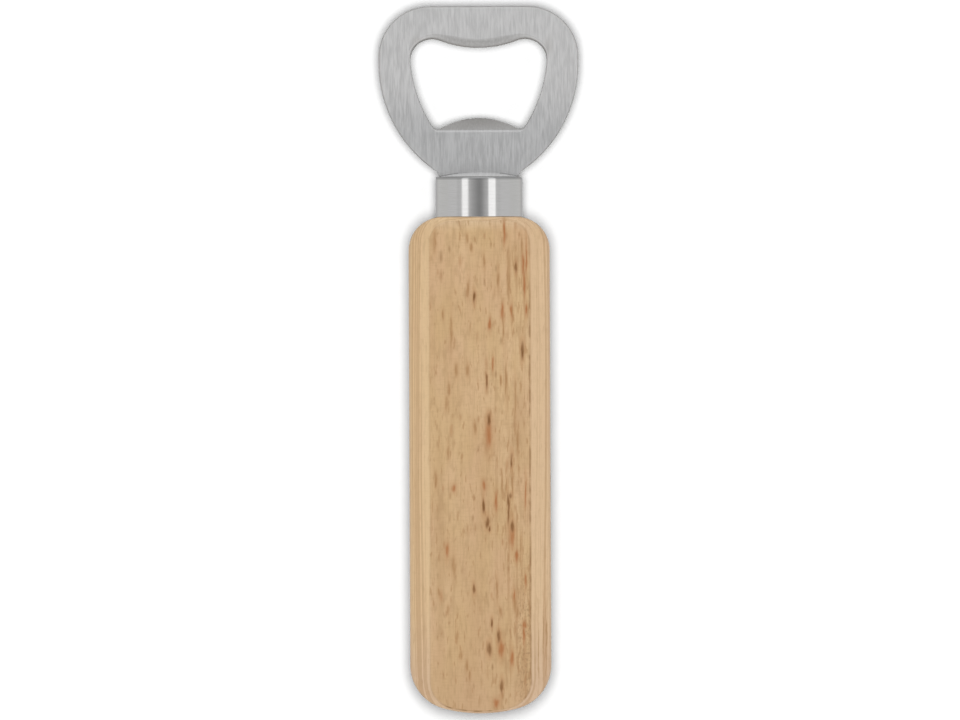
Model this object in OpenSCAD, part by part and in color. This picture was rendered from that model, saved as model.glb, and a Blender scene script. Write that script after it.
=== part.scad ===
// Bottle opener: a stamped steel head, its tang glued into a turned and shaped
// wooden handle, with a polished steel collar over the joint.
// The opener lies on the back face of its handle. +Y runs along the handle
// towards the head, +Z points out of the front face, +X is to the right.
// The origin is on the surface it lies on, under the middle of its length.

/* [Overall] */
// Length from the end of the handle to the top of the head
overall_l = 150; // [146:1:160]
// Length of the wooden handle without its tenon
handle_l = 105.2; // [100:0.2:106]

/* [Head] */
// Greatest width of the head
head_w = 42.4; // [41:0.2:44]
// Thickness of the steel plate
plate_t = 2.5; // [2.2:0.1:3]
// Radius of the two top corners
head_corner_r = 10.8; // [10:0.2:12]
// Straight length of each side between the corner and the lower curve
head_side_l = 1.4; // [0.4:0.2:3]
// Radius of the two curves that narrow the head towards the collar
head_side_r = 27.5; // [26:0.5:29]

/* [Cap opening] */
// Greatest clear width of the opening
opening_w = 29; // [27:0.5:30]
// Distance from the top of the head to the tip of the pressing tongue
tongue_drop = 8.8; // [8:0.1:10]
// Radius of the round lobe at each side of the tongue
lobe_r = 4.6; // [4.2:0.1:5]
// Distance from the top of the head to the centres of the lobes
lobe_drop = 11.55; // [11.2:0.05:12]
// Radius of each side of the opening
opening_side_r = 30; // [27:1:34]
// Slant at which each side leaves its lobe, in degrees
opening_side_a = 5; // [3:1:7]
// Distance from the top of the head to the lower edge of the opening
opening_drop = 26.1; // [25.5:0.1:27]
// Radius of the lower corners of the opening
opening_corner_r = 1.3; // [0.8:0.1:2]

/* [Lifting lip] */
// Half width of the lip at its root
lip_half_w = 8.5; // [7.9:0.1:8.7]
// How far the lip reaches into the opening
lip_rise = 2.5; // [2:0.1:2.8]
// Slope of the lip, in degrees below the front of the plate
lip_a = 55; // [45:1:60]
// Radius of the bend from the front of the plate into the lip
lip_bend_r = 0.9; // [0.6:0.1:1.1]
// Thickness of the lip
lip_t = 1.6; // [1.3:0.1:1.9]

/* [Collar] */
// Outside diameter of the collar
collar_d = 18.4; // [17.6:0.1:20]
// Height of the collar's rim above the handle
collar_h = 8.7; // [7:0.1:10]
// Height of the domed crown above the rim
crown_rise = 0.95; // [0.5:0.05:1.5]
// Radius of the rim
rim_r = 0.5; // [0.3:0.1:0.5]
// Thickness of the collar's wall
collar_wall = 0.8; // [0.6:0.1:0.9]
// Gap round the tang in the collar's slot
slot_gap = 0.1; // [0.05:0.05:0.2]

/* [Handle] */
// Width of the handle
handle_w = 29.9; // [28:0.1:32]
// Thickness of the handle
handle_t = 20.4; // [19:0.2:23]
// Width of the flat front and back faces
face_w = 21; // [19:0.2:22]
// Slope of the wide chamfers beside the flat faces, in degrees
chamfer_a = 40; // [35:1:50]
// Radius between each chamfer and the side of the handle
side_r = 2.5; // [1:0.5:3]
// Radius of the two corners beside the collar
handle_top_r = 7; // [5:0.2:8]
// Radius of the two corners at the free end
handle_end_r = 9.4; // [8:0.2:11]
// Radius of the gently curved free end
end_arc_r = 30; // [26:1:40]
// Radius that eases the front and back edges of both ends
end_edge_r = 0.8; // [0.4:0.1:0.8]

/* [Hidden joint] */
// Length of the tenon inside the collar
tenon_l = 7.9; // [5:0.1:8]
// Diameter of the bore that takes the tang
bore_d = 10; // [9.6:0.1:12]
// Depth of the bore below the tenon's end
bore_l = 52; // [46:1:60]
// Width of the tang
tang_w = 9; // [7:0.1:9.2]
// Length of the tang below the top of the collar
tang_l = 50; // [40:1:52]
// Radius of the keying notches along the tang
notch_r = 1; // [0.5:0.1:1.3]
// Number of notches along each edge of the tang
notch_count = 4; // [1:1:4]

/* [Hidden] */

arc_step = 5;
overlap = 1;
mid_z = handle_t / 2;
plate_front_z = mid_z + plate_t / 2;
top_y = overall_l / 2;
end_y = -overall_l / 2;
shoulder_y = end_y + handle_l;
rim_y = shoulder_y + collar_h;
crown_y = rim_y + crown_rise;
lip_root_y = top_y - opening_drop;
tenon_y = shoulder_y + tenon_l;
tang_end_y = crown_y - tang_l;
bore_end_y = tenon_y - bore_l;
crown_half_w = collar_d / 2 - rim_r;
crown_r = (crown_half_w * crown_half_w + crown_rise * crown_rise) / (2 * crown_rise);
crown_centre_y = crown_y - crown_r;
notch_pitch = (tenon_y - tang_end_y) / (notch_count + 1);

// Points along an arc, from angle a0 to angle a1
function arc(centre, r, a0, a1) =
    let (n = max(2, ceil(abs(a1 - a0) / arc_step)))
    [for (i = [0:n]) let (a = a0 + (a1 - a0) * i / n) centre + r * [cos(a), sin(a)]];

function reversed(points) = [for (i = [len(points) - 1:-1:0]) points[i]];

// The right half of an outline, closed by its mirror image
function with_mirror(half) = concat(half, [for (p = reversed(half)) [-p.x, p.y]]);

// Top of the collar's crown from distance x to the middle
function crown_arc(r, x) = arc([0, crown_centre_y], r, acos(x / r), 90);

function head_outline() =
    let (
        half_w = head_w / 2,
        corner_y = top_y - head_corner_r,
        side_y = corner_y - head_side_l,
        side_a = acos((crown_half_w - half_w + head_side_r) / head_side_r)
    )
    with_mirror(concat(
        arc([half_w - head_corner_r, corner_y], head_corner_r, 90, 0),
        arc([half_w - head_side_r, side_y], head_side_r, 0, -side_a),
        crown_arc(crown_r, crown_half_w)
    ));

function opening_outline() =
    let (
        tongue_y = top_y - tongue_drop,
        lobe = [opening_w / 2 - lobe_r, top_y - lobe_drop],
        rise = tongue_y - lobe.y,
        tongue_r = (rise * rise + lobe.x * lobe.x - lobe_r * lobe_r) / (2 * (lobe_r - rise)),
        tongue_a = asin(lobe.x / (tongue_r + lobe_r)),
        side = lobe - (opening_side_r - lobe_r) * [cos(opening_side_a), -sin(opening_side_a)],
        corner_y = top_y - opening_drop + opening_corner_r,
        reach = opening_side_r - opening_corner_r,
        corner_a = asin((side.y - corner_y) / reach),
        corner = [side.x + reach * cos(corner_a), corner_y]
    )
    with_mirror(concat(
        arc([0, tongue_y + tongue_r], tongue_r, -90, -90 + tongue_a),
        arc(lobe, lobe_r, 90 + tongue_a, -opening_side_a),
        arc(side, opening_side_r, -opening_side_a, -corner_a),
        arc(corner, opening_corner_r, -corner_a, -90)
    ));

function handle_outline() =
    let (
        half_w = handle_w / 2,
        top_corner = [half_w - handle_top_r, shoulder_y - handle_top_r],
        end_centre_y = end_y + end_arc_r,
        end_x = half_w - handle_end_r,
        end_a = asin(end_x / (end_arc_r - handle_end_r)),
        end_corner = [end_x, end_centre_y - (end_arc_r - handle_end_r) * cos(end_a)]
    )
    with_mirror(concat(
        arc(top_corner, handle_top_r, 90, 0),
        arc(end_corner, handle_end_r, 0, -90 + end_a),
        arc([0, end_centre_y], end_arc_r, -90 + end_a, -90)
    ));

// Cross-section of the handle: flat faces, wide chamfers, rounded into flat sides
function handle_section() =
    let (
        turn = 90 - chamfer_a,
        face_corner = [face_w / 2, handle_t / 2],
        x = handle_w / 2 - side_r,
        slope_l = x + side_r * cos(turn) - face_corner.x,
        y = face_corner.y - slope_l * tan(chamfer_a) - side_r * sin(turn)
    )
    with_mirror(concat(
        [face_corner],
        arc([x, y], side_r, turn, 0),
        arc([x, -y], side_r, 0, -turn),
        [[face_corner.x, -face_corner.y]]
    ));

// Side view of the handle, drawn in y and z, with eased edges at both ends
function handle_side() =
    let (
        y0 = end_y + end_edge_r,
        y1 = shoulder_y - end_edge_r,
        z0 = end_edge_r,
        z1 = handle_t - end_edge_r
    )
    concat(
        arc([y1, z1], end_edge_r, 90, 0),
        arc([y1, z0], end_edge_r, 0, -90),
        arc([y0, z0], end_edge_r, -90, -180),
        arc([y0, z1], end_edge_r, 180, 90)
    );

// Extrudes an outline drawn in x and y, with its thickness centred on the mid-plane
module on_mid_plane(thickness) {
    translate([0, 0, mid_z - thickness / 2])
        linear_extrude(thickness)
            children();
}

// Cylinder along +Y, centred on the mid-plane
module along_y(d, y0, y1) {
    translate([0, y0, mid_z])
        rotate([-90, 0, 0])
            cylinder(d = d, h = y1 - y0, $fn = 96);
}

// Extrudes an outline drawn in y and z, centred on x = 0
module along_x(width) {
    translate([-width / 2, 0, 0])
        rotate([90, 0, 90])
            linear_extrude(width)
                children();
}

// Front surface of the lip in y and z: the bend, then the slope down to its tip
function lip_front() =
    let (
        bend = [lip_root_y - lip_bend_r * sin(lip_a), plate_front_z - lip_bend_r],
        drop = lip_bend_r * (1 - cos(lip_a)) + lip_rise * tan(lip_a)
    )
    concat(arc(bend, lip_bend_r, 90, 90 - lip_a), [[lip_root_y + lip_rise, plate_front_z - drop]]);

// Crescent lip, bent back from the lower edge of the opening
module lip() {
    front = lip_front();
    tip = front[len(front) - 1];
    heel = tip - lip_t * [sin(lip_a), cos(lip_a)];
    back_z = plate_front_z - plate_t;
    plan_r = (lip_half_w * lip_half_w + lip_rise * lip_rise) / (2 * lip_rise);
    intersection() {
        along_x(2 * lip_half_w)
            polygon(concat(front, [
                heel,
                [heel.x - (back_z - heel.y) / tan(lip_a), back_z],
                [front[0].x - overlap, mid_z]
            ]));
        translate([0, tip.x - plan_r, 0])
            cylinder(r = plan_r, h = handle_t, $fn = 96);
    }
}

// What the bend takes off the front of the plate at the root of the lip
module lip_bend_cut() {
    front = lip_front();
    tip = front[len(front) - 1];
    above_z = plate_front_z + overlap;
    along_x(2 * lip_half_w)
        polygon(concat(front, [[tip.x, above_z], [front[0].x, above_z]]));
}

// Flat tang with round keying notches, from its end up to height y1
module tang(y1) {
    difference() {
        on_mid_plane(plate_t)
            translate([-tang_w / 2, tang_end_y])
                square([tang_w, y1 - tang_end_y]);
        for (side = [-1, 1], i = [1:notch_count])
            translate([side * tang_w / 2, tang_end_y + i * notch_pitch, 0])
                cylinder(r = notch_r, h = handle_t, $fn = 32);
    }
}

module opener_head() {
    color("silver") {
        difference() {
            on_mid_plane(plate_t)
                difference() {
                    polygon(head_outline());
                    polygon(opening_outline());
                }
            lip_bend_cut();
        }
        lip();
        tang(crown_y + overlap);
    }
}

module collar() {
    inner_r = collar_d / 2 - collar_wall;
    profile = concat(
        [[inner_r, shoulder_y], [collar_d / 2, shoulder_y]],
        arc([crown_half_w, rim_y - rim_r], rim_r, 0, 90),
        crown_arc(crown_r, crown_half_w),
        reversed(crown_arc(crown_r - collar_wall, inner_r))
    );
    color("gainsboro")
        difference() {
            translate([0, 0, mid_z])
                rotate([-90, 0, 0])
                    rotate_extrude($fn = 96)
                        polygon(profile);
            slot = [tang_w + 2 * slot_gap, 3 * crown_rise + collar_wall, plate_t + 2 * slot_gap];
            translate([-slot.x / 2, crown_y - slot.y + overlap, mid_z - slot.z / 2])
                cube(slot);
        }
}

module handle() {
    color("burlywood")
        difference() {
            union() {
                intersection() {
                    on_mid_plane(handle_t)
                        polygon(handle_outline());
                    translate([0, shoulder_y, mid_z])
                        rotate([90, 0, 0])
                            linear_extrude(handle_l)
                                polygon(handle_section());
                    along_x(handle_w)
                        polygon(handle_side());
                }
                along_y(collar_d - 2 * collar_wall, shoulder_y - overlap, tenon_y);
            }
            along_y(bore_d, bore_end_y, tenon_y + overlap);
        }
}

// Glue that fills the bore round the tang
module tang_adhesive() {
    color("khaki")
        difference() {
            along_y(bore_d, bore_end_y, tenon_y);
            tang(tenon_y + overlap);
        }
}

opener_head();
collar();
handle();
tang_adhesive();
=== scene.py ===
"""Looks of the bottle opener: brushed head, polished collar and wooden handle, in a pale studio."""

import math

import bmesh
import bpy
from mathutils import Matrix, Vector
from mathutils.geometry import tessellate_polygon


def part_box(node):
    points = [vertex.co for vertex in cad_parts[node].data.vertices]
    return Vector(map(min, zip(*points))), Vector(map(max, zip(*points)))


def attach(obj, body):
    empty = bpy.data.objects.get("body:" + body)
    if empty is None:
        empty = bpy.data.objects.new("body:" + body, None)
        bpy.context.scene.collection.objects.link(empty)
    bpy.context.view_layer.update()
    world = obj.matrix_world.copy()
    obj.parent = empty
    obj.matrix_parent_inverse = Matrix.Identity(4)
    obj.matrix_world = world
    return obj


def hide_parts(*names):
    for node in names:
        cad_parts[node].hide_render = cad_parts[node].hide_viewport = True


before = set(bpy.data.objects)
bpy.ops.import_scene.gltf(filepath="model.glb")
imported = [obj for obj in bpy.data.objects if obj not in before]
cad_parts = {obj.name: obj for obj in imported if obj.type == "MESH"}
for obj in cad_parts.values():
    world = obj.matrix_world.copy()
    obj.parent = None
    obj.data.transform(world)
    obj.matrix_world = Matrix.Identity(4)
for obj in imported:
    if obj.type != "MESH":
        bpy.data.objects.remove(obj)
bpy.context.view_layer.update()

# Sizes are in millimetres. In a name R is a radius, A an angle in degrees, T a thickness,
# L a length and W a width
MM = 0.001
# Angle between the points of an arc, at most
ARC_STEP = 3.0
# Vertices closer than this are joined
JOIN_MM = 0.002
# Edges with a larger angle than this are shaded sharp
METAL_CREASE_A = 40
WOOD_CREASE_A = 45


def in_mm(node):
    """Lowest and highest corner of a CAD node, in millimetres."""
    return [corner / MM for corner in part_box(node)]


HEAD_LO, HEAD_HI = in_mm("opener_head")
COLLAR_LO, COLLAR_HI = in_mm("collar")
HANDLE_LO, HANDLE_HI = in_mm("handle")
MID_Z = (HANDLE_LO.z + HANDLE_HI.z) / 2

# Head: a stamped plate with a cap opening, a lip and a tang
PLATE_FRONT_Z = HEAD_HI.z
PLATE_T = 2 * (HEAD_HI.z - MID_Z)
TOP_Y = HEAD_HI.y
TANG_END_Y = HEAD_LO.y
HEAD_HALF_W = HEAD_HI.x
HEAD_CORNER_R = 10.8
HEAD_SIDE_L = 1.4
HEAD_SIDE_R = 27.5
HEAD_EDGE_R = 0.35
SEAM_EDGE_R = 0.08
BACK_EDGE_R = 0.25
OPENING_W = 29.0
TONGUE_DROP = 8.8
LOBE_R = 4.6
LOBE_Y = TOP_Y - 11.55
OPENING_SIDE_R = 30.0
OPENING_SIDE_A = 5.0
OPENING_DROP = 26.1
OPENING_CORNER_R = 1.3
LIP_HALF_W = 8.5
LIP_RISE = 2.5
LIP_A = 55.0
LIP_BEND_R = 0.9
LIP_T = 1.6
LIP_TIP_R = 0.3
LIP_FOOT_R = 0.25
LIP_ROOT_Y = TOP_Y - OPENING_DROP
TANG_HALF_W = 4.5
NOTCH_R = 1.0
NOTCH_COUNT = 4

# Roll of the opening's edge, as width and drop: all round, more at the top and more on the tongue
EDGE_ROLL = (0.24, 0.2)
TOP_ROLL = (0.66, 0.4)
TONGUE_ROLL = (1.1, 0.25)
# Where they fade: above the lobes, from the middle outwards, and round the lip's root
TOP_FADE = 2.6
TONGUE_FADE = (5.0, 12.0)
BEND_FADE = (8.6, 9.9)
FOOT_FADE = (0.3, 1.2)
# Rings of vertices across the roll
EDGE_RINGS = 8
# Wear and painted shade of the roll, near the flat front and near the wall, and what the tongue adds
# to each
ROLL_WEAR_AND_SHADE = (0.35, 0.5)
TONGUE_WEAR_AND_SHADE = (0.35, -0.6)
# Painted shade on the bend to the lip, wear and painted shade on the opening's wall, painted shade at
# the lip's root, and painted shade as a dark line on the outer edge
BEND_SHADE = 0.14
WALL_WEAR_AND_SHADE = 0.6
ROOT_SHADE = 0.18
OUTER_SHADE = 0.5
# Length over which the outer edge goes from almost sharp on the collar to its full radius
SEAM_FADE = 1.6
# A point of the opening this near to the line of the lip's root is on it
ON_ROOT = 0.01

# Collar: a drawn cup with a low crown
COLLAR_R = COLLAR_HI.x
COLLAR_WALL = 0.8
CROWN_Y = COLLAR_HI.y
CROWN_RISE = 0.95
RIM_R = 0.5
RIM_Y = CROWN_Y - CROWN_RISE
CROWN_HALF_W = COLLAR_R - RIM_R
CROWN_R = (CROWN_HALF_W**2 + CROWN_RISE**2) / (2 * CROWN_RISE)
CROWN_CENTRE_Y = CROWN_Y - CROWN_R
COLLAR_FOOT_R = 0.15
# Y of two more rings of vertices on the wall
COLLAR_RING_YS = (36.0, 33.0)
# Width of the slanted corner between wall and crown, inside
INNER_CORNER = 0.3
# Slot for the tang: the gap on each side, and the length along Y of the box that cuts it
SLOT_GAP = 0.1
SLOT_TOOL_L = 4.0
COLLAR_COUNT = 160

# Handle: flat faces inside a wide chamfered band
SHOULDER_Y = COLLAR_LO.y
TENON_Y = HANDLE_HI.y
END_Y = HANDLE_LO.y
HANDLE_HALF_W = HANDLE_HI.x
BORE_R = 5.0
BORE_END_Y = in_mm("tang_adhesive")[0].y
HANDLE_TOP_R = 7.0
HANDLE_END_R = 9.4
END_ARC_R = 30.0
CHAMFER_A = 40.0
CHAMFER_EDGE_R = 0.3
SIDE_R = 2.5
FACE_HALF_W = 10.5
FACE_TOP_Y = SHOULDER_Y - 1.0
FACE_TOP_R = 4.5
FACE_END_Y = END_Y + 0.6
FACE_END_R = 5.6
# How far the tenon starts below the shoulder, and the bore's tool stands out past the tenon
TENON_ROOT = 2.0
BORE_PAST = 1.0
TENON_COUNT = 96


# ---------------------------------------------------------------- outlines, in millimetres

def polar(centre, r, degrees):
    """The point at a radius and an angle from a centre."""
    a = math.radians(degrees)
    return Vector((centre[0] + r * math.cos(a), centre[1] + r * math.sin(a)))


def arc(centre, r, a0, a1, count=None):
    """Points of an arc from angle a0 to angle a1, both ends included."""
    count = count or max(2, math.ceil(abs(a1 - a0) / ARC_STEP))
    return [polar(centre, r, a0 + (a1 - a0) * i / count) for i in range(count + 1)]


def line(p0, p1, count):
    """Points from p0 to p1, both ends left out."""
    return [Vector(p0).lerp(Vector(p1), i / count) for i in range(1, count)]


def smooth(x, x0, x1):
    """Smooth rise from 0 at x0 to 1 at x1."""
    t = min(1.0, max(0.0, (x - x0) / (x1 - x0)))
    return t * t * (3 - 2 * t)


def with_mirror(half):
    """A closed loop from its right half, whose first and last points are on the middle line."""
    return half + [Vector((-p.x, p.y)) for p in reversed(half[1:-1])]


def inward(loop, turn):
    """Mitred normals of a closed loop. turn is 1 for the left of travel and -1 for the right."""
    normals = []
    for i, p in enumerate(loop):
        before = (p - loop[i - 1]).normalized()
        after = (loop[(i + 1) % len(loop)] - p).normalized()
        n0, n1 = (turn * Vector((-d.y, d.x)) for d in (before, after))
        n = (n0 + n1).normalized()
        normals.append(n / max(0.5, n.dot(n0)))
    return normals


def head_loop():
    """Outline of the plate and its tang, clockwise from the middle of the top."""
    corner = (HEAD_HALF_W - HEAD_CORNER_R, TOP_Y - HEAD_CORNER_R)
    side = (HEAD_HALF_W - HEAD_SIDE_R, corner[1] - HEAD_SIDE_L)
    side_a = math.degrees(math.acos((CROWN_HALF_W - side[0]) / HEAD_SIDE_R))
    crown = (0, CROWN_CENTRE_Y)
    crown_a0 = math.degrees(math.acos(CROWN_HALF_W / CROWN_R))
    crown_a1 = math.degrees(math.acos(TANG_HALF_W / CROWN_R))
    half = [Vector((0, TOP_Y))]
    half += line((0, TOP_Y), (corner[0], TOP_Y), 8)
    half += arc(corner, HEAD_CORNER_R, 90, 0)
    half += arc(side, HEAD_SIDE_R, 0, -side_a)
    half += arc(crown, CROWN_R, crown_a0, crown_a1, 8)[1:]
    pitch = (TENON_Y - TANG_END_Y) / (NOTCH_COUNT + 1)
    for i in range(NOTCH_COUNT, 0, -1):
        notch = (TANG_HALF_W, TANG_END_Y + i * pitch)
        half += arc(notch, NOTCH_R, 90, 270, 12)
    half += [Vector((TANG_HALF_W, TANG_END_Y)), Vector((0, TANG_END_Y))]
    return with_mirror(half)


def opening_loop():
    """Outline of the cap opening, clockwise from the tip of the tongue."""
    tongue_y = TOP_Y - TONGUE_DROP
    lobe = Vector((OPENING_W / 2 - LOBE_R, LOBE_Y))
    rise = tongue_y - lobe.y
    tongue_r = (rise**2 + lobe.x**2 - LOBE_R**2) / (2 * (LOBE_R - rise))
    tongue_a = math.degrees(math.asin(lobe.x / (tongue_r + LOBE_R)))
    side = polar(lobe, OPENING_SIDE_R - LOBE_R, 180 - OPENING_SIDE_A)
    corner_y = LIP_ROOT_Y + OPENING_CORNER_R
    reach = OPENING_SIDE_R - OPENING_CORNER_R
    corner_a = math.degrees(math.asin((side.y - corner_y) / reach))
    corner = polar(side, reach, -corner_a)
    half = arc((0, tongue_y + tongue_r), tongue_r, -90, -90 + tongue_a, 30)
    half += arc(lobe, LOBE_R, 90 + tongue_a, -OPENING_SIDE_A, 40)[1:]
    half += arc(side, OPENING_SIDE_R, -OPENING_SIDE_A, -corner_a, 30)[1:]
    half += arc(corner, OPENING_CORNER_R, -corner_a, -90, 12)[1:]
    lip_end = (LIP_HALF_W, LIP_ROOT_Y)
    half += line(half[-1], lip_end, 3) + [Vector(lip_end)]
    half += line(lip_end, (0, LIP_ROOT_Y), 40) + [Vector((0, LIP_ROOT_Y))]
    return with_mirror(half)


def handle_loop(half_w, top_y, top_r, end_y, end_r):
    """Outline of the handle or its flat face, clockwise. Every call gives the same point count."""
    top = (half_w - top_r, top_y - top_r)
    end_x = half_w - end_r
    end_a = math.degrees(math.asin(end_x / (END_ARC_R - end_r)))
    centre = (0, end_y + END_ARC_R)
    end = polar(centre, END_ARC_R - end_r, -90 + end_a)
    half = [Vector((0, top_y))] + line((0, top_y), (top[0], top_y), 8)
    half += arc(top, top_r, 90, 0, 24)
    half += line((half_w, top[1]), (half_w, end.y), 24)
    half += arc(end, end_r, 0, -90 + end_a, 28)
    half += arc(centre, END_ARC_R, -90 + end_a, -90, 14)[1:]
    return with_mirror(half)


# ---------------------------------------------------------------- meshes

def join_close(work):
    """Joins the vertices that lie in one place."""
    bmesh.ops.remove_doubles(work, verts=work.verts, dist=JOIN_MM * MM)


def make_object(name, verts, faces, wear_and_shade=None):
    """An object from vertices in millimetres, each with a share of wear and painted shade if that is
    given.
    """
    work = bmesh.new()
    layer = work.verts.layers.float.new("edge_wear_and_shade") if wear_and_shade else None
    points = [work.verts.new(Vector(v) * MM) for v in verts]
    for point, value in zip(points, wear_and_shade or []):
        point[layer] = value
    for face in faces:
        work.faces.new([points[i] for i in face])
    join_close(work)
    bmesh.ops.recalc_face_normals(work, faces=work.faces)
    mesh = bpy.data.meshes.new(name)
    work.to_mesh(mesh)
    work.free()
    obj = bpy.data.objects.new(name, mesh)
    bpy.context.scene.collection.objects.link(obj)
    return obj


def shade(obj, sharp_degrees):
    """Smooth shading with sharp creases, and normals that keep the flat faces flat."""
    mesh = obj.data
    mesh.polygons.foreach_set("use_smooth", [True] * len(mesh.polygons))
    mesh.set_sharp_from_angle(angle=math.radians(sharp_degrees))
    weighted = obj.modifiers.new("flat_faces", "WEIGHTED_NORMAL")
    weighted.keep_sharp = True
    weighted.weight = 100


def cut(obj, tool, operation):
    """Applies a boolean with another object and removes that object."""
    modifier = obj.modifiers.new("cut", "BOOLEAN")
    modifier.operation = operation
    modifier.object = tool
    modifier.solver = "EXACT"
    bpy.context.view_layer.update()
    shape = obj.evaluated_get(bpy.context.evaluated_depsgraph_get())
    obj.data = bpy.data.meshes.new_from_object(shape)
    obj.modifiers.clear()
    bpy.data.objects.remove(tool)
    work = bmesh.new()
    work.from_mesh(obj.data)
    join_close(work)
    bmesh.ops.dissolve_degenerate(work, edges=work.edges, dist=JOIN_MM * MM)
    work.to_mesh(obj.data)
    work.free()


def ring_strip(rows):
    """Quads between neighbouring rows of vertex numbers, the last row and the first included."""
    pairs = zip(rows, rows[1:] + rows[:1])
    return [(a[j], a[j + 1], b[j + 1], b[j]) for a, b in pairs for j in range(len(a) - 1)]


def turned(name, profile, count):
    """A closed shape turned about the handle's axis, from radius and y pairs."""
    verts, rows = [], []
    poles = {}
    for i in range(count):
        a = 2 * math.pi * i / count
        row = []
        for j, (r, y) in enumerate(profile):
            on_axis = r < 1e-6
            if on_axis and j in poles:
                row.append(poles[j])
                continue
            if on_axis:
                poles[j] = len(verts)
            row.append(len(verts))
            verts.append((r * math.sin(a), y, MID_Z + r * math.cos(a)))
        rows.append(row)
    faces = [tuple(dict.fromkeys(f)) for f in ring_strip(rows)]
    return make_object(name, verts, faces)


def rounded(t_max, drop_max, max_a, count):
    """Distance and drop pairs of an edge that rolls from flat to a slope of max_a degrees."""
    top = math.radians(max_a)
    pairs = []
    for k in range(count + 1):
        a = top * k / count
        t = t_max * (1 - math.sin(a) / math.sin(top))
        pairs.append((t, drop_max * (1 - math.cos(a)) / (1 - math.cos(top))))
    return pairs


def fillet(before, corner, after, r, count=4):
    """Points that round a corner, reaching r along each side or 0.45 of a shorter one."""
    before, corner, after = Vector(before), Vector(corner), Vector(after)
    to0, to1 = before - corner, after - corner
    reach = [min(r, 0.45 * d.length) / max(d.length, 1e-9) for d in (to0, to1)]
    p0, p1 = corner + to0 * reach[0], corner + to1 * reach[1]
    return [
        p0.lerp(corner, k / count).lerp(corner.lerp(p1, k / count), k / count)
        for k in range(count + 1)
    ]


def opening_section(p):
    """Cross-section of the plate's edge at a point of the opening.

    Each of its points is a distance into the metal, a drop below the front and a share of wear and
    painted shade.
    """
    at_foot = 1 - smooth(p.y, *(LIP_ROOT_Y + rise for rise in FOOT_FADE))
    bend = at_foot * (1 - smooth(abs(p.x), *BEND_FADE))
    on_lip = p.y < LIP_ROOT_Y + ON_ROOT and abs(p.x) < LIP_HALF_W
    lip = 1 - (p.x / LIP_HALF_W) ** 2 if on_lip else 0.0
    at_top = smooth(p.y, LOBE_Y, LOBE_Y + TOP_FADE)
    tongue = at_top * (1 - smooth(abs(p.x), *TONGUE_FADE))
    rolls = zip(EDGE_ROLL, TOP_ROLL, TONGUE_ROLL)
    width, drop = (edge + top * at_top + more * tongue for edge, top, more in rolls)
    slope = math.radians(LIP_A)
    roll_wear_and_shade = [base + more * tongue for base, more in zip(ROLL_WEAR_AND_SHADE, TONGUE_WEAR_AND_SHADE)]
    width += (LIP_BEND_R * math.sin(slope) - width) * bend
    drop += (LIP_BEND_R * (1 - math.cos(slope)) - drop) * bend

    front = []
    for t, d in rounded(width, drop, 90 + (LIP_A - 90) * bend, EDGE_RINGS):
        share = 1 - t / width
        early, late = smooth(share, 0.0, 0.15 + 0.15 * tongue), smooth(share, 0.4, 0.9)
        worn_and_shaded = early * roll_wear_and_shade[0] + late * roll_wear_and_shade[1]
        # The share is wear and painted shade on the roll, and painted shade that dulls the bend's
        # highlight
        front.append((t, d, worn_and_shaded * (1 - bend) + BEND_SHADE * early * bend))

    root = Vector((0, drop))
    rise = LIP_RISE * lip
    tip = root + rise * Vector((-1, math.tan(slope)))
    lean = slope * lip
    back_drop = PLATE_T - BACK_EDGE_R * (1 - lip)
    thick = min(LIP_T, back_drop - drop - LIP_TIP_R)
    heel = tip + thick * Vector((math.sin(lean), math.cos(lean)))
    back_t = lip * (LIP_T / math.cos(slope) + drop - PLATE_T) / math.tan(slope)
    foot = Vector((back_t, back_drop))
    path = [root.lerp(tip, k / 4) for k in range(1, 4)]
    path += fillet(root, tip, heel, LIP_TIP_R)
    path += [tip.lerp(heel, 0.5)]
    path += fillet(tip, heel, foot, LIP_FOOT_R)
    path += [heel.lerp(foot, 0.5), foot]
    back = [
        (back_t + t, PLATE_T - d * (1 - lip))
        for t, d in reversed(rounded(BACK_EDGE_R, BACK_EDGE_R, 90, 4))
    ]
    # Along the lip the share grows from the root's painted shade to more painted shade at its tip
    less = WALL_WEAR_AND_SHADE - ROOT_SHADE
    wall_wear_and_shade = WALL_WEAR_AND_SHADE - less * bend
    wall = [(q.x, q.y, wall_wear_and_shade + less * lip * min(1, -q.x / LIP_RISE)) for q in path]
    return front + wall + [(t, d, wall_wear_and_shade) for t, d in back[1:-1]] + [(*back[-1], 0.0)]


def outer_section(p):
    """Cross-section of the outer edge, in the same terms. It is almost sharp on the collar."""
    r = SEAM_EDGE_R + (HEAD_EDGE_R - SEAM_EDGE_R) * smooth(p.y, CROWN_Y, CROWN_Y + SEAM_FADE)
    rolled = rounded(r, r, 90, 4)
    # The share here is painted shade: a dark line along the outer edge
    edge = [(t, d, OUTER_SHADE * smooth(r - t, 0.0, 0.4 * r)) for t, d in rolled]
    return edge + [(t, PLATE_T - d, worn_and_shaded) for t, d, worn_and_shaded in reversed(edge)]


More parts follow.
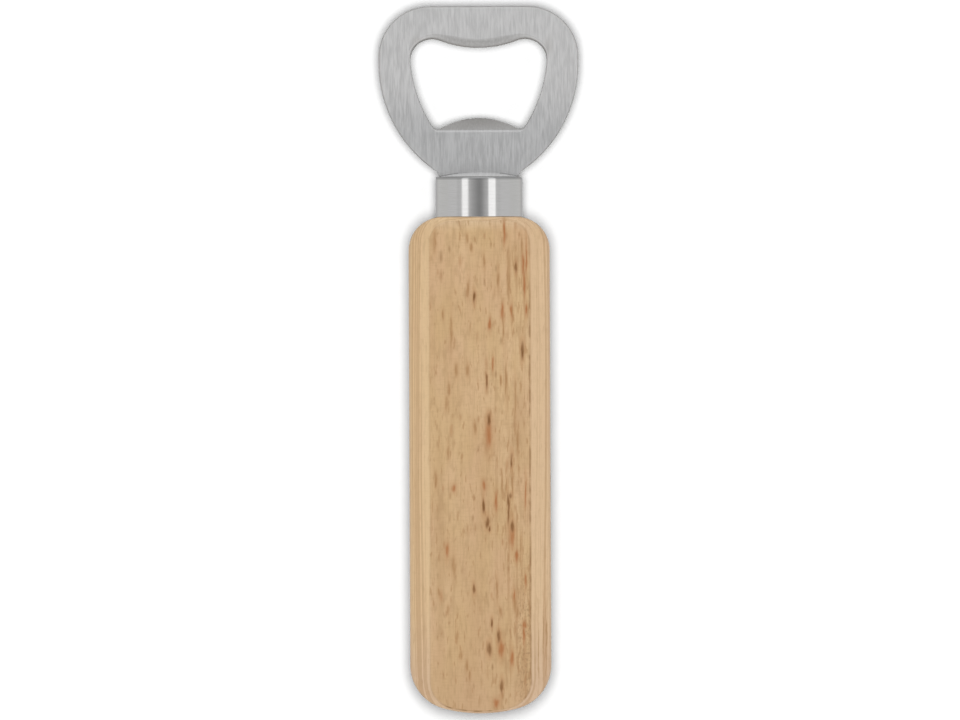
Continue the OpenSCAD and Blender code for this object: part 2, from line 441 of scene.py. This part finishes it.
def build_head():
    """Plate and tang: two rings of cross-sections, with flat faces between them."""
    verts, wear_and_shade, faces, flat_front, flat_back = [], [], [], [], []
    for loop, turn, section in (
        (head_loop(), -1, outer_section),
        (opening_loop(), 1, opening_section),
    ):
        rows = []
        for p, normal in zip(loop, inward(loop, turn)):
            row = []
            for t, drop, worn_and_shaded in section(p):
                q = p + normal * t
                row.append(len(verts))
                verts.append((q.x, q.y, PLATE_FRONT_Z - drop))
                wear_and_shade.append(worn_and_shaded)
            rows.append(row)
        faces += ring_strip(rows)
        flat_front.append([row[0] for row in rows])
        flat_back.append([row[-1] for row in rows])
    for loops in (flat_front, flat_back):
        numbers = [n for loop in loops for n in loop]
        flat = [[Vector((verts[n][0], verts[n][1], 0)) for n in loop] for loop in loops]
        faces += [tuple(numbers[i] for i in tri) for tri in tessellate_polygon(flat)]
    obj = make_object("head_brushed", verts, faces, wear_and_shade)
    shade(obj, METAL_CREASE_A)
    return obj


def build_collar():
    """Turned cup with a slot through its crown."""
    inner_r = COLLAR_R - COLLAR_WALL
    crown = (0, CROWN_CENTRE_Y)
    edge_a = math.degrees(math.acos(CROWN_HALF_W / CROWN_R))
    inner_crown_r = CROWN_R - COLLAR_WALL
    inner_a = math.degrees(math.acos((inner_r - INNER_CORNER) / inner_crown_r))
    profile = [(0.0, CROWN_Y)]
    profile += [tuple(p) for p in arc(crown, CROWN_R, 90, edge_a, 16)[1:]]
    profile += [tuple(p) for p in arc((CROWN_HALF_W, RIM_Y - RIM_R), RIM_R, 90, 0, 8)]
    profile += [(COLLAR_R, y) for y in COLLAR_RING_YS]
    foot = (COLLAR_R - COLLAR_FOOT_R, SHOULDER_Y + COLLAR_FOOT_R)
    profile += [tuple(p) for p in arc(foot, COLLAR_FOOT_R, 0, -90, 3)]
    profile += [(inner_r, SHOULDER_Y), (inner_r, RIM_Y - RIM_R)]
    inner = arc(crown, inner_crown_r, inner_a, 90, 10)
    profile += [tuple(p) for p in inner[:-1]] + [(0.0, inner[-1].y)]
    obj = turned("collar_polished", profile, COLLAR_COUNT)
    bpy.ops.mesh.primitive_cube_add(size=MM, location=Vector((0, CROWN_Y, MID_Z)) * MM)
    tool = bpy.context.object
    tool.scale = (2 * (TANG_HALF_W + SLOT_GAP), SLOT_TOOL_L, PLATE_T + 2 * SLOT_GAP)
    cut(obj, tool, "DIFFERENCE")
    shade(obj, METAL_CREASE_A)
    return obj


def band_profile():
    """Shares of width and depth across the chamfered band, and its depth for its width."""
    width = HANDLE_HALF_W - FACE_HALF_W
    turn = 90 - CHAMFER_A
    slope = math.tan(math.radians(CHAMFER_A))
    joint_x = width - SIDE_R + SIDE_R * math.cos(math.radians(turn))
    depth = joint_x * slope + SIDE_R * math.sin(math.radians(turn))
    joint = (joint_x, -joint_x * slope)
    path = fillet((-1, 0), (0, 0), joint, CHAMFER_EDGE_R, 6)
    path += line((CHAMFER_EDGE_R, -CHAMFER_EDGE_R * slope), joint, 4)
    path += arc((width - SIDE_R, -depth), SIDE_R, turn, 0, 12)
    return [(p[0] / width, -p[1] / depth) for p in path], depth / width


def build_handle():
    """Two flat faces and the band round them, then a tenon and a bore."""
    outer = handle_loop(HANDLE_HALF_W, SHOULDER_Y, HANDLE_TOP_R, END_Y, HANDLE_END_R)
    face = handle_loop(FACE_HALF_W, FACE_TOP_Y, FACE_TOP_R, FACE_END_Y, FACE_END_R)
    profile, steepness = band_profile()
    widest = HANDLE_HALF_W - FACE_HALF_W
    verts, rows = [], []
    for o, q in zip(outer, face):
        width = min(widest, min((o - p).length for p in face))
        half = [(q.lerp(o, h), HANDLE_HI.z - v * steepness * width) for h, v in profile]
        row = []
        for p, z in half + [(p, 2 * MID_Z - z) for p, z in reversed(half)]:
            row.append(len(verts))
            verts.append((p.x, p.y, z))
        rows.append(row)
    faces = ring_strip(rows)
    faces += [tuple(row[0] for row in rows), tuple(row[-1] for row in rows)]
    obj = make_object("handle_turned_and_shaped", verts, faces)
    tenon_r = COLLAR_R - COLLAR_WALL
    for name, r, low, high, operation in (
        ("tenon", tenon_r, SHOULDER_Y - TENON_ROOT, TENON_Y, "UNION"),
        ("bore", BORE_R, BORE_END_Y, TENON_Y + BORE_PAST, "DIFFERENCE"),
    ):
        profile = [(0.0, low), (r, low), (r, high), (0.0, high)]
        cut(obj, turned(name, profile, TENON_COUNT), operation)
    shade(obj, WOOD_CREASE_A)
    return obj


# ---------------------------------------------------------------- materials

class Shader:
    """Adds nodes to a material's or world's tree. A socket is linked, and a number is set."""

    def __init__(self, owner):
        owner.use_nodes = True
        self.tree = owner.node_tree
        self.tree.nodes.clear()

    def add(self, kind, inputs=None, **settings):
        node = self.tree.nodes.new("ShaderNode" + kind)
        for key, value in settings.items():
            setattr(node, key, value)
        for key, value in (inputs or {}).items():
            if isinstance(value, bpy.types.NodeSocket):
                self.tree.links.new(value, node.inputs[key])
            else:
                node.inputs[key].default_value = value
        return node

    def math(self, operation, *values):
        return self.add("Math", dict(enumerate(values)), operation=operation).outputs[0]

    def vector(self, operation, *values):
        node = self.add("VectorMath", dict(enumerate(values)), operation=operation)
        return node.outputs["Value" if operation == "LENGTH" else "Vector"]

    def place(self):
        """The object's own coordinates, in millimetres."""
        own = self.add("TexCoord").outputs["Object"]
        return self.vector("MULTIPLY", own, (1 / MM,) * 3)

    def split(self, vector):
        return self.add("SeparateXYZ", {0: vector}).outputs

    def noise(self, where, scale, detail=2.0):
        """Noise of about 0 to 1 with a different scale, in cycles per millimetre, on each axis."""
        stretched = self.vector("MULTIPLY", where, scale)
        node = self.add("TexNoise", {"Vector": stretched, "Scale": 1.0, "Detail": detail})
        return node.outputs["Fac"]

    def step(self, value, x0, x1, y0=0.0, y1=1.0):
        """Smooth change from y0 at x0 to y1 at x1."""
        inputs = {"Value": value, 1: x0, 2: x1, 3: y0, 4: y1}
        node = self.add("MapRange", inputs, interpolation_type="SMOOTHSTEP")
        return node.outputs["Result"]

    def blend(self, factor, a, b):
        """Colour a where factor is 0 and colour b where it is 1."""
        return self.add("Mix", {0: factor, 6: a, 7: b}, data_type="RGBA").outputs[2]

    def bump(self, height, distance_mm, strength):
        inputs = {"Height": height, "Distance": distance_mm * MM, "Strength": strength}
        return self.add("Bump", inputs).outputs[0]

    def finish(self, **inputs):
        named = {key.replace("_", " "): value for key, value in inputs.items()}
        surface = self.add("BsdfPrincipled", named).outputs[0]
        self.add("OutputMaterial", {"Surface": surface})


def material(obj, name, build):
    """Gives an object one new material, whose nodes build makes."""
    made = bpy.data.materials.new(name)
    build(Shader(made))
    obj.data.materials.clear()
    obj.data.materials.append(made)


def grey(value, warm=0.0):
    """A grey, with warm as its share of more red and less blue."""
    return (value * (1 + warm), value, value * (1 - warm), 1.0)


def brushed_steel(s):
    """Brush lines along the handle's axis, painted darker below the opening and beside the lobes as
    shade, and duller and browner on worn edges, where the darker colour is partly painted shade.
    """
    p = s.place()
    y = s.split(p)[1]
    wear_and_shade = s.add("Attribute", attribute_name="edge_wear_and_shade").outputs["Fac"]
    fine = s.noise(p, (4.6, 0.36, 1.0), 4.0)
    broad = s.noise(p, (2.2, 0.07, 1.0), 2.0)
    cloud = s.noise(p, (0.09, 0.06, 0.1), 2.0)
    grit = s.noise(p, (3.0, 1.6, 3.0), 3.0)
    lines = s.math("MULTIPLY_ADD", broad, 0.15, s.math("MULTIPLY", fine, 0.85))
    # Painted shade: the plate's colour is darker below the opening than above it
    low = s.step(y, 60.0, 47.0)
    light = s.blend(low, grey(0.755, 0.004), grey(0.645, -0.004))
    dark = s.blend(low, grey(0.67, 0.004), grey(0.56, -0.004))
    base = s.blend(s.step(lines, 0.36, 0.64), dark, light)
    base = s.blend(s.step(cloud, 0.4, 0.7, 0.0, 0.3), base, light)
    # Patches of painted shade beside the lobes
    smudge_and_shade = s.step(nearest_mark(s, p, LOBE_SHADES), 1.3, 0.1, 0.0, 0.22)
    base = s.blend(smudge_and_shade, base, (0.42, 0.39, 0.35, 1))
    # Worn edges: rougher, and darker in colour, which is partly painted shade
    worn_and_shaded = s.math("MULTIPLY", wear_and_shade, s.step(grit, 0.3, 0.6, 0.8, 1.0))
    base = s.blend(worn_and_shaded, base, (0.26, 0.253, 0.243, 1))
    rough = s.math("ADD", s.step(lines, 0.3, 0.7, 0.34, 0.42), s.math("MULTIPLY", worn_and_shaded, 0.15))
    height = s.math("MULTIPLY_ADD", s.math("MULTIPLY", grit, wear_and_shade), 0.6, fine)
    s.finish(
        Base_Color=base,
        Metallic=1.0,
        Roughness=rough,
        Normal=s.bump(height, 0.02, 0.4),
    )


def polished_steel(s):
    """Faint turning marks, with painted shade on the rim and a painted highlight on the crown."""
    p = s.place()
    turning = s.noise(p, (0.3, 9.0, 0.3), 2.0)
    smudge_and_shade = s.noise(p, (0.25, 0.2, 0.25), 3.0)
    y = s.split(p)[1]
    base = s.blend(s.step(turning, 0.3, 0.7), grey(0.64, 0.006), grey(0.60, 0.008))
    # Painted shade: the rim is darker
    base = s.blend(s.step(y, RIM_Y - 0.9, RIM_Y - 0.3), base, grey(0.36))
    # Painted highlight: the crown is paler
    base = s.blend(s.step(y, RIM_Y - 0.1, RIM_Y + 0.1), base, grey(0.97))
    s.finish(
        Base_Color=base,
        Metallic=1.0,
        Roughness=s.step(smudge_and_shade, 0.35, 0.7, 0.07, 0.13),
        Normal=s.bump(turning, 0.004, 0.25),
    )


# Patches of painted shade beside the lobes of the head: x, y, length and width in millimetres
LOBE_SHADES = [(14.9, 66.6, 5.0, 2.4), (-13.2, 67.6, 3.0, 3.0)]

# Broad stains seen on the front: x, y, length and width in millimetres
STAINS = [(8.2, -13.5, 26.0, 4.0), (8.6, -68.0, 9.0, 4.0), (-8.5, -40.0, 60.0, 2.6)]

# Larger pores seen on the front: x, y, length and width in millimetres
DARK_PORES = [
    (-1.1, 13.1, 2.2, 0.4), (7.8, 19.4, 1.9, 0.4),
    (9.0, 1.9, 3.0, 0.5), (1.5, -4.6, 2.6, 0.4), (6.7, -21.6, 2.4, 0.5),
    (6.4, -28.8, 1.2, 0.5), (0.7, -30.9, 2.6, 0.5), (5.9, -31.7, 5.5, 0.4),
    (1.5, -34.3, 1.9, 0.6), (2.0, -35.9, 1.0, 0.4), (-1.4, -48.6, 1.8, 0.5),
    (2.3, -56.0, 1.8, 0.4), (3.8, -58.6, 2.2, 0.5), (1.8, -61.5, 2.2, 0.7),
    (4.4, -69.3, 2.4, 0.5), (1.9, -13.0, 2.2, 0.6), (6.8, -35.4, 1.8, 0.7),
]
BROWN_PORES = [
    (-2.5, 25.5, 1.8, 0.5), (-1.7, 23.7, 1.8, 0.5), (0.95, 20.7, 2.4, 0.5),
    (9.05, 24.0, 3.4, 0.35),
    (-2.4, 15.2, 2.7, 0.4), (6.2, 17.6, 9.0, 0.6), (-7.7, 9.5, 1.8, 0.4),
    (-6.0, 5.7, 6.0, 0.4), (-9.4, 25.2, 3.5, 0.5), (5.6, -4.9, 6.5, 0.4),
    (-5.0, -2.0, 2.6, 0.6), (-2.6, -2.4, 2.2, 0.5), (7.5, -8.9, 7.9, 0.35),
    (8.0, -17.5, 5.0, 0.4), (-6.7, -19.5, 2.3, 0.4), (6.9, -26.0, 7.0, 0.3),
    (4.6, -26.3, 5.0, 0.3), (5.5, -26.9, 2.8, 0.3), (8.6, -39.8, 2.6, 0.4),
    (-5.7, -43.9, 3.4, 0.8), (-8.8, -49.4, 1.7, 0.4), (-6.9, -53.2, 1.6, 0.5),
    (4.1, -53.2, 1.8, 0.4), (7.8, -53.5, 2.0, 0.5), (-4.2, -62.7, 1.6, 0.5),
    (13.3, -58.0, 12.0, 0.2), (13.9, -60.0, 11.0, 0.2), (12.2, -62.0, 9.0, 0.15),
    (7.0, 9.5, 4.0, 0.35), (5.0, 6.2, 4.5, 0.3), (4.0, 17.0, 2.5, 0.4), (-6.6, -6.5, 3.0, 0.4),
    (-7.2, -9.6, 2.4, 0.45), (-1.1, -14.7, 2.0, 0.5), (4.4, -4.3, 2.0, 0.4),
    (-2.9, -65.0, 2.0, 0.4), (-2.4, -67.0, 1.6, 0.4), (-5.0, -58.6, 2.0, 0.4),
    (3.5, -49.0, 4.0, 0.3), (7.3, -52.0, 2.6, 0.4), (-9.4, -25.6, 2.4, 0.5),
]
RED_PORES = [
    (9.6, 16.0, 5.0, 0.4), (10.0, 10.5, 2.5, 0.3),
    (5.3, 26.9, 3.9, 0.4), (9.3, 20.1, 3.2, 0.45), (4.9, 10.2, 3.2, 0.6),
    (6.8, 10.3, 2.6, 0.4), (2.2, 7.5, 2.0, 0.4), (1.9, -16.0, 4.6, 1.1),
    (0.8, -26.7, 1.6, 0.7), (3.3, -30.4, 2.8, 0.6), (6.8, -37.4, 4.0, 0.8),
    (7.7, -41.6, 1.8, 0.6), (-7.1, -40.4, 2.6, 0.5), (-5.6, -27.3, 1.4, 0.8),
    (7.1, -50.2, 2.2, 0.4), (9.2, -56.4, 1.4, 0.6), (9.2, -58.4, 3.0, 0.3),
    (4.3, -61.3, 2.8, 1.0), (6.6, -63.2, 2.8, 0.5), (3.3, -72.8, 1.6, 1.1),
    (10.0, 21.5, 6.0, 0.25), (2.8, -1.0, 2.4, 0.4), (9.6, -28.5, 5.0, 0.3),
    (9.6, -47.0, 2.5, 0.4),
]


def nearest_mark(s, where, marks):
    """Distance from the nearest mark: 0 at its middle and 1 at its edge."""
    nearest = None
    for x, y, length, width in marks:
        scale = (2 / width, 2 / length, 0.0)
        offset = (-x * scale[0], -y * scale[1], 0.0)
        distance = s.vector("LENGTH", s.vector("MULTIPLY_ADD", where, scale, offset))
        nearest = s.math("MINIMUM", nearest, distance) if nearest else distance
    return nearest


class Wood:
    """Pale hardwood. ground gives a first colour, and every other method paints on a colour."""

    def __init__(self, s):
        self.s = s
        self.p = s.place()
        self.x, self.y, self.z = s.split(self.p)[:3]
        from_middle = s.math("ABSOLUTE", s.math("SUBTRACT", self.z, MID_Z))
        self.below_face = s.math("SUBTRACT", HANDLE_HI.z - MID_Z, from_middle)
        # 0 on the flat faces and 1 on the chamfers and sides, or 0.8 there near the collar
        off_face = s.step(self.below_face, 0.02, 0.3)
        self.side = s.math("MULTIPLY", off_face, s.step(self.y, 28.0, 18.0, 0.8, 1.0))
        # 1 where streaks and pores crowd, on the right of the flat faces, and 0.3 near the collar
        crowded = s.math("MULTIPLY", s.step(self.x, 1.0, 8.0), self.faces(0.0))
        self.busy = s.math("MULTIPLY", crowded, s.step(self.y, 28.0, 18.0, 0.3, 1.0))
        self.streaks = s.noise(self.p, (1.5, 0.05, 1.5), 3.0)
        self.mottle = s.noise(self.p, (0.8, 0.3, 0.8), 4.0)
        self.fibre = s.noise(self.p, (3.2, 0.4, 3.2), 3.0)
        # How deep the surface is pitted, set by the first method that paints pores
        self.depth = None

    def faces(self, on_sides):
        """1 on the flat faces, going to on_sides where side is 1."""
        return self.s.step(self.side, 1.0, 0.0, on_sides, 1.0)

    def ground(self):
        """Slow changes of colour, stains, a darker foot, a paler strip of painted light at the top
        end, and a paler band on the chamfers, partly the wood's own tone and partly painted light.
        """
        s, x, y = self.s, self.x, self.y
        patches = s.noise(self.p, (0.12, 0.035, 0.12), 2.0)
        hue = s.noise(self.p, (0.22, 0.09, 0.22), 1.0)
        stain = nearest_mark(s, self.p, STAINS)
        base = s.blend(s.step(patches, 0.35, 0.65), (0.65, 0.428, 0.224, 1), (0.70, 0.475, 0.262, 1))
        for factor, colour in (
            (s.step(hue, 0.5, 0.68, 0.0, 0.3), (0.71, 0.445, 0.27, 1)),
            (s.step(hue, 0.5, 0.34, 0.0, 0.3), (0.655, 0.45, 0.21, 1)),
            (s.step(y, 10.0, -70.0, 0.0, 0.22), (0.56, 0.355, 0.19, 1)),
            (s.step(y, -62.0, -73.0, 0.0, 0.3), (0.56, 0.36, 0.20, 1)),
            # A paler strip along the top end, by the collar: painted light
            (s.step(y, 26.8, 29.5, 0.0, 0.5), (0.79, 0.60, 0.40, 1)),
            (s.step(stain, 1.2, 0.3, 0.0, 0.4), (0.50, 0.31, 0.145, 1)),
        ):
            base = s.blend(factor, base, colour)
        # Paler on the chamfers and sides: partly the wood's own tone, partly painted light that makes
        # up for less light falling there
        band = s.blend(s.step(x, -8.0, 8.0), (0.885, 0.635, 0.363, 1), (0.86, 0.615, 0.38, 1))
        band = s.blend(s.step(y, -50.0, -70.0, 0.0, 0.6), band, (0.74, 0.53, 0.39, 1))
        return s.blend(s.math("MULTIPLY", self.side, 0.7), base, band)

    def grain(self, base):
        """Fibre and growth layers, which are fine lines on the chamfers and broad bands elsewhere."""
        s = self.s
        fleck = s.noise(self.p, (0.45, 2.6, 0.45), 3.0)
        for value, x0, x1, strength in (
            (self.mottle, 0.50, 0.72, 0.34),
            (self.fibre, 0.48, 0.70, 0.26),
            (fleck, 0.46, 0.68, 0.13),
            (self.streaks, 0.50, 0.70, 0.22),
        ):
            faded = s.math("MULTIPLY_ADD", self.side, -0.6 * strength, strength)
            brown = s.math("MULTIPLY", s.step(value, x0, x1), faded)
            base = s.blend(brown, base, (0.43, 0.255, 0.115, 1))
        warp = s.noise(self.p, (0.07, 0.012, 0.07), 2.0)
        layer = s.math("MULTIPLY_ADD", warp, 1.6, s.math("MULTIPLY_ADD", self.x, 0.06, self.z))
        sideways = s.math("MULTIPLY", self.x, 0.12)
        across = s.add("CombineXYZ", {0: sideways, 1: self.y, 2: layer}).outputs[0]
        layers = s.noise(across, (1.0, 0.008, 3.3), 3.0)
        strength = s.math("MULTIPLY_ADD", self.side, 0.37, 0.12)
        dark = s.math("MULTIPLY", s.step(layers, 0.48, 0.60), strength)
        return s.blend(dark, base, (0.50, 0.29, 0.14, 1))

    def streaking(self, base):
        """Long streaks on the right, short dashes all over and speckle at the lower right."""
        s, busy = self.s, self.busy
        strength = s.math("MULTIPLY", busy, 0.42)
        streaked = s.math("MULTIPLY", s.step(self.streaks, 0.54, 0.66), strength)
        base = s.blend(streaked, base, (0.44, 0.23, 0.10, 1))
        dashes = s.noise(self.p, (1.8, 0.32, 1.8), 2.0)
        limit = s.math("MULTIPLY_ADD", busy, -0.045, 0.612)
        dashed = s.step(s.math("SUBTRACT", dashes, limit), 0.0, 0.09, 0.0, 0.55)
        base = s.blend(s.math("MULTIPLY", dashed, self.faces(0.3)), base, (0.43, 0.225, 0.09, 1))
        speckle = s.noise(self.p, (2.8, 1.5, 2.8), 2.0)
        low_right = s.math("MULTIPLY", s.step(self.y, -40.0, -52.0), s.step(self.x, 6.5, 9.0))
        low_right = s.math("MULTIPLY", low_right, s.step(self.side, 1.0, 0.0, 0.0, 0.6))
        speckled = s.math("MULTIPLY", s.step(speckle, 0.52, 0.64), low_right)
        self.depth = s.math("MULTIPLY", dashed, 0.5)
        return s.blend(speckled, base, (0.38, 0.22, 0.10, 1))

    def seam(self, base):
        """A stained line along the edge of the flat faces, on their right and at their foot."""
        s, x, y = self.s, self.x, self.y
        below = self.below_face
        edge = s.math("MULTIPLY", s.step(below, 0.0, 0.06), s.step(below, 0.40, 0.12))
        foot = s.math("MULTIPLY", s.step(y, -72.5, -73.6), s.step(s.math("ADD", x, 1.5), 5.5, 3.0))
        right = s.math("MULTIPLY", s.step(x, 8.0, 10.0), s.step(y, 20.0, 14.0, 0.15, 0.75))
        blotches = s.step(self.mottle, 0.38, 0.6, 0.25, 1.0)
        stained = s.math("MULTIPLY", s.math("MAXIMUM", foot, right), blotches)
        return s.blend(s.math("MULTIPLY", edge, stained), base, (0.34, 0.18, 0.07, 1))

    def small_pores(self, base):
        """Short pores all through the wood, in two sizes."""
        s = self.s
        for scale, radius in (((0.5, 0.14, 0.5), 0.3), ((0.8, 0.26, 0.8), 0.32)):
            where = s.vector("MULTIPLY", self.p, scale)
            inputs = {"Vector": where, "Scale": 1.0, "Randomness": 1.0}
            cells = s.add("TexVoronoi", inputs, feature="F1")
            chosen, tone = s.split(cells.outputs["Color"])[:2]
            chosen = s.step(s.math("MULTIPLY_ADD", self.busy, 0.2, chosen), 0.5, 0.8)
            pore = s.math("MULTIPLY", s.step(cells.outputs["Distance"], radius, 0.04), chosen)
            pore = s.math("MULTIPLY", pore, self.faces(0.2))
            colour = s.blend(tone, (0.30, 0.16, 0.06, 1), (0.46, 0.22, 0.09, 1))
            base = s.blend(s.math("MULTIPLY", pore, 0.5), base, colour)
            self.depth = s.math("MAXIMUM", self.depth, s.math("MULTIPLY", pore, 0.7))
        return base

    def large_pores(self, base):
        """The larger pores of the front face, each with a soft stain round it."""
        s = self.s
        stretched = s.vector("MULTIPLY", self.p, (1.0, 0.3, 1.0))
        noise = s.add("TexNoise", {"Vector": stretched, "Scale": 1.0, "Detail": 2.0})
        wander = s.vector("SUBTRACT", noise.outputs["Color"], (0.5, 0.5, 0.5))
        near = s.vector("ADD", self.p, s.vector("MULTIPLY", wander, (0.8, 2.0, 0.0)))
        front = s.step(self.z, MID_Z, MID_Z + 4)
        patchy = s.math("MULTIPLY", front, s.step(self.fibre, 0.3, 0.6, 0.65, 1.0))
        for marks, halo_strength, colour, strength in (
            (RED_PORES, 0.45, (0.42, 0.15, 0.045, 1), 0.8),
            (BROWN_PORES, 0.22, (0.40, 0.215, 0.085, 1), 0.7),
            (DARK_PORES, 0.55, (0.20, 0.085, 0.02, 1), 0.9),
        ):
            distance = nearest_mark(s, near, marks)
            halo = s.math("MULTIPLY", s.step(distance, 3.4, 0.8, 0.0, halo_strength), front)
            base = s.blend(halo, base, (0.49, 0.25, 0.105, 1))
            core = s.math("MULTIPLY", s.step(distance, 1.75, 0.4), patchy)
            base = s.blend(s.math("MULTIPLY", core, strength), base, colour)
            self.depth = s.math("MAXIMUM", self.depth, core)
        return base


def wood(s):
    """Pale hardwood: growth layers, fibre, and short brown pores that crowd on its right."""
    made = Wood(s)
    base = made.ground()
    for paint in (made.grain, made.streaking, made.seam, made.small_pores, made.large_pores):
        base = paint(base)
    height = s.math("MULTIPLY_ADD", made.fibre, 0.25, s.math("MULTIPLY", made.depth, -1.0))
    s.finish(
        Base_Color=base,
        Roughness=s.step(made.depth, 0.0, 1.0, 0.45, 0.8),
        Normal=s.bump(height, 0.05, 0.35),
        Specular_IOR_Level=0.4,
    )


def glue(s):
    """Hardened epoxy, out of sight inside the handle."""
    cloud = s.noise(s.place(), (0.3, 0.3, 0.3), 3.0)
    s.finish(
        Base_Color=s.blend(cloud, (0.55, 0.42, 0.20, 1), (0.66, 0.54, 0.28, 1)),
        Roughness=s.step(cloud, 0.3, 0.7, 0.2, 0.35),
        Normal=s.bump(cloud, 0.1, 0.4),
    )


# ---------------------------------------------------------------- the model

head = build_head()
material(head, "brushed_plate", brushed_steel)
collar = build_collar()
material(collar, "polished_collar", polished_steel)
handle = build_handle()
material(handle, "handle_wood", wood)
for piece, node, slot in (
    (head, "opener_head", "brushed_plate"),
    (collar, "collar", "polished_collar"),
    (handle, "handle", "handle_wood"),
):
    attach(piece, "root")
    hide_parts(node)
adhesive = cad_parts["tang_adhesive"]
material(adhesive, "cured_glue", glue)


# ---------------------------------------------------------------- studio

# Width of the floor in metres. Past it the white studio shows
FLOOR_W = 0.5
# Overhead lamp: height and width in metres, and its light on the floor in watts per square metre
LAMP_Z = 2.0
LAMP_W = 0.56
FLOOR_LIGHT = 33.9

# Camera: height of the picture at the front of the plate in millimetres, how far the middle of the
# picture is from the origin, and the roll in degrees
FRAME_H = 152.9
CAMERA_X = 0.08
CAMERA_Y = -0.12
CAMERA_ROLL = -0.22


def build_floor():
    """Pale floor, with a lamp of its own that draws a narrow soft shadow round the object."""
    bpy.ops.mesh.primitive_plane_add(size=FLOOR_W, location=(0, 0, 0))
    floor = bpy.context.object
    floor.name = "floor"
    floor.visible_glossy = False
    floor.visible_diffuse = False
    paper = bpy.data.materials.new("floor_paper")
    s = Shader(paper)
    grain = s.noise(s.place(), (0.4, 0.4, 0.4), 2.0)
    base = s.blend(grain, grey(0.088), grey(0.092))
    s.finish(Base_Color=base, Roughness=0.9, Specular_IOR_Level=0.0)
    floor.data.materials.append(paper)

    lamp = bpy.data.lights.new("overhead", "AREA")
    lamp.shape = "DISK"
    lamp.size = LAMP_W
    lamp.energy = FLOOR_LIGHT * math.pi * LAMP_Z**2
    lamp_obj = bpy.data.objects.new("overhead", lamp)
    lamp_obj.location.z = LAMP_Z
    lamp_obj.visible_camera = False
    lamp_obj.visible_glossy = False
    bpy.context.scene.collection.objects.link(lamp_obj)
    lit = bpy.data.collections.new("lit_by_overhead")
    lit.objects.link(floor)
    lamp_obj.light_linking.receiver_collection = lit


# Brightness of the studio by angle from overhead towards +X, across the handle
ACROSS = [
    (-90, 0.72), (-64, 0.72), (-57, 0.64), (-48.2, 0.70), (-44.4, 1.36), (-31, 1.36), (-26.6, 0.62),
    (-16, 0.46), (-4, 0.33), (2, 0.30), (8, 0.36), (16, 0.53), (23, 0.62), (27, 1.36),
    (43, 1.40), (47, 0.70), (55, 0.67), (62, 0.72), (90, 0.72),
]
# Angles from overhead, along the handle, over which the dark patch and the two strips end
PATCH_ENDS = (14, 7)
STRIP_ENDS = (60, 45)
# Angles across the handle over which the strips begin
STRIP_SIDES = (24, 27)
SKY = 0.98
BELOW_ENDS = (0.66, 0.645, 0.63, 1.0)
BELOW_SIDES = (0.71, 0.71, 0.70, 1.0)


def build_world():
    """Pale studio by direction: a small dark patch overhead between two long bright strips."""
    world = bpy.data.worlds.new("studio")
    bpy.context.scene.world = world
    s = Shader(world)
    x, y, z = s.split(s.add("TexCoord").outputs["Generated"])[:3]
    across = s.math("ARCTAN2", x, z)
    along = s.math("ABSOLUTE", s.math("ARCTAN2", y, z))
    ramp = s.add("ValToRGB", {"Fac": s.math("MULTIPLY_ADD", across, 1 / math.pi, 0.5)})
    stops = ramp.color_ramp.elements
    while len(stops) < len(ACROSS):
        stops.new(0.5)
    for stop, (degrees, level) in zip(stops, ACROSS):
        stop.position = degrees / 180 + 0.5
        stop.color = grey(level)
    patch = s.step(along, *map(math.radians, PATCH_ENDS))
    strip_sides = s.step(s.math("ABSOLUTE", across), *map(math.radians, STRIP_SIDES))
    strips = s.math("MULTIPLY", s.step(along, *map(math.radians, STRIP_ENDS)), strip_sides)
    sideways = s.step(s.math("ABSOLUTE", x), 0.5, 0.8)
    sky = s.blend(s.step(z, 0.6, 0.0), grey(SKY), s.blend(sideways, grey(0.66), grey(0.72)))
    sky = s.blend(s.math("MAXIMUM", patch, strips), sky, ramp.outputs[0])
    below = s.blend(sideways, BELOW_ENDS, BELOW_SIDES)
    below = s.blend(s.step(z, -0.75, -0.95), below, grey(0.5))
    sky = s.blend(s.step(z, 0.02, -0.05), sky, below)
    sky = s.blend(s.add("LightPath").outputs["Is Camera Ray"], sky, grey(1.0))
    surface = s.add("Background", {"Color": sky, "Strength": 1.0}).outputs[0]
    s.add("OutputWorld", {"Surface": surface})


def build_camera():
    """Straight overhead, with a long lens and a slight roll."""
    camera = bpy.data.cameras.new("camera")
    camera.lens = 800.0
    camera.sensor_width = 36.0
    camera.clip_start = 0.01
    camera.clip_end = 50.0
    obj = bpy.data.objects.new("camera", camera)
    bpy.context.scene.collection.objects.link(obj)
    sensor_h = camera.sensor_width * 720 / 960
    distance = FRAME_H * MM * camera.lens / sensor_h
    obj.location = (CAMERA_X * MM, CAMERA_Y * MM, PLATE_FRONT_Z * MM + distance)
    obj.rotation_euler.z = math.radians(CAMERA_ROLL)
    bpy.context.scene.camera = obj


build_floor()
build_world()
build_camera()
view = bpy.context.scene.view_settings
view.view_transform = "Standard"
view.look = "None"
